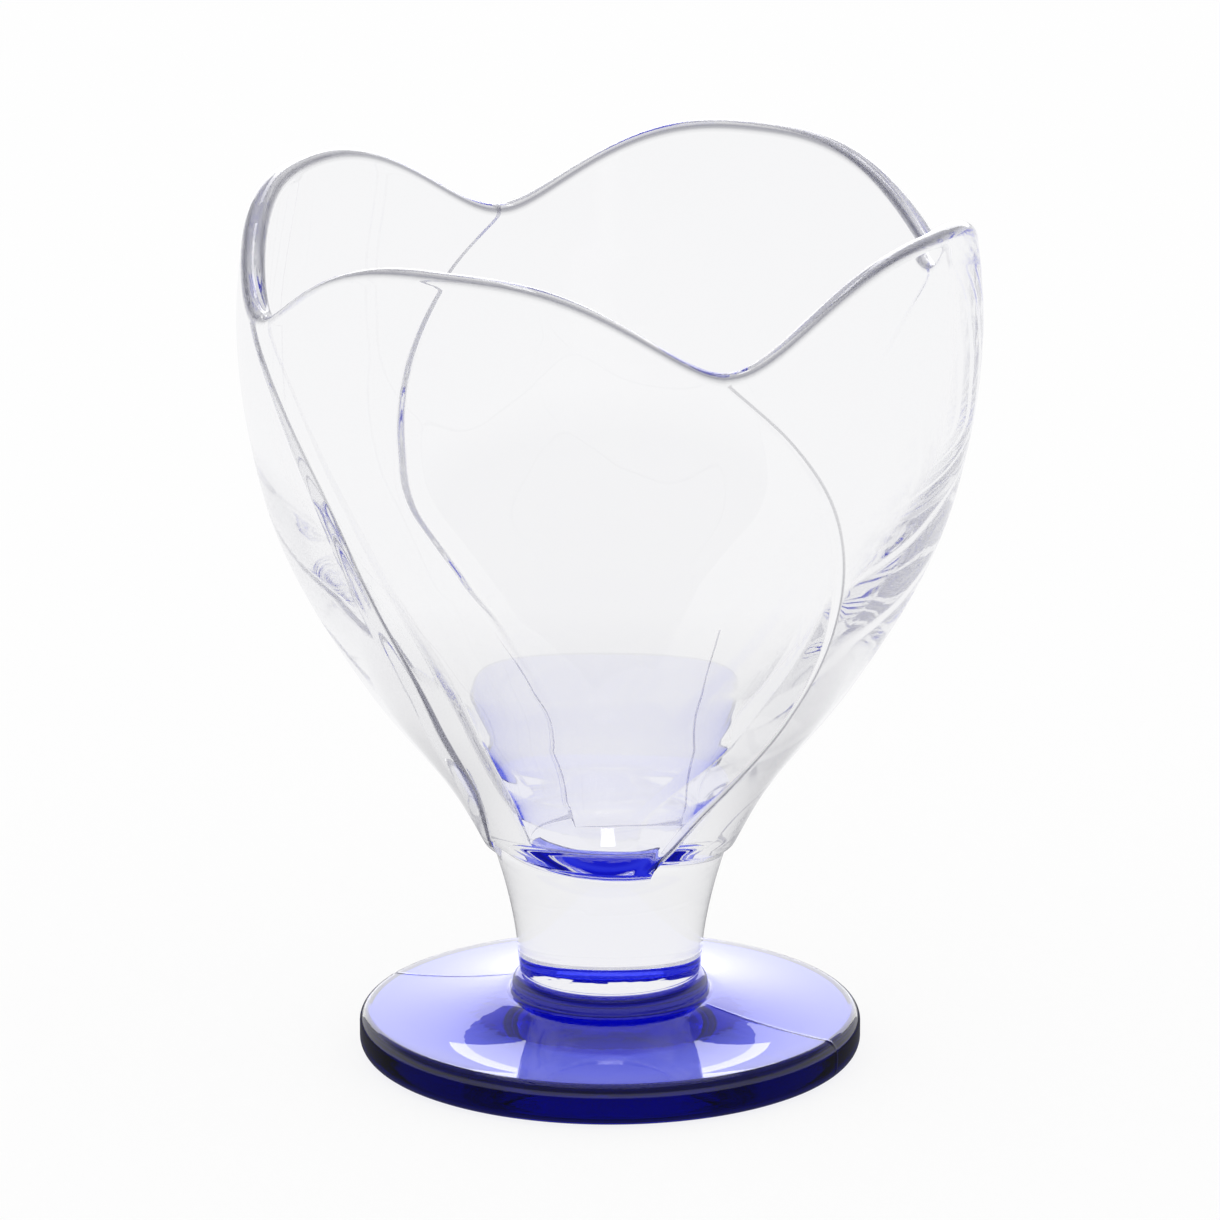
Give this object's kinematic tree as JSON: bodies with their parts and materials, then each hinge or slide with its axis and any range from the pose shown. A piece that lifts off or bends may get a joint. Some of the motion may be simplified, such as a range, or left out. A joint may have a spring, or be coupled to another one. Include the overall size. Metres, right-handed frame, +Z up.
{
  "type": "ice cream coupe",
  "caption": "Stemmed glass coupe for ice cream: a clear tulip bowl of overlapping petals with a scalloped rim, on a short solid stem fused to a blue disc foot.",
  "frame": {"origin": "middle of the ring that the foot stands on", "axes": "+Z up along the glass's axis, out of the mouth; the tops of the petals face +X, +Y, -X and -Y"},
  "size_m": [0.1002, 0.1002, 0.1209],
  "materials": {
    "clear_glass": "fire-polished pressed glass, colourless",
    "blue_glass": "pressed glass, cobalt blue"
  },
  "bodies": {
    "root": {"bowl": "clear_glass", "foot": "blue_glass"}
  },
  "joints": []
}
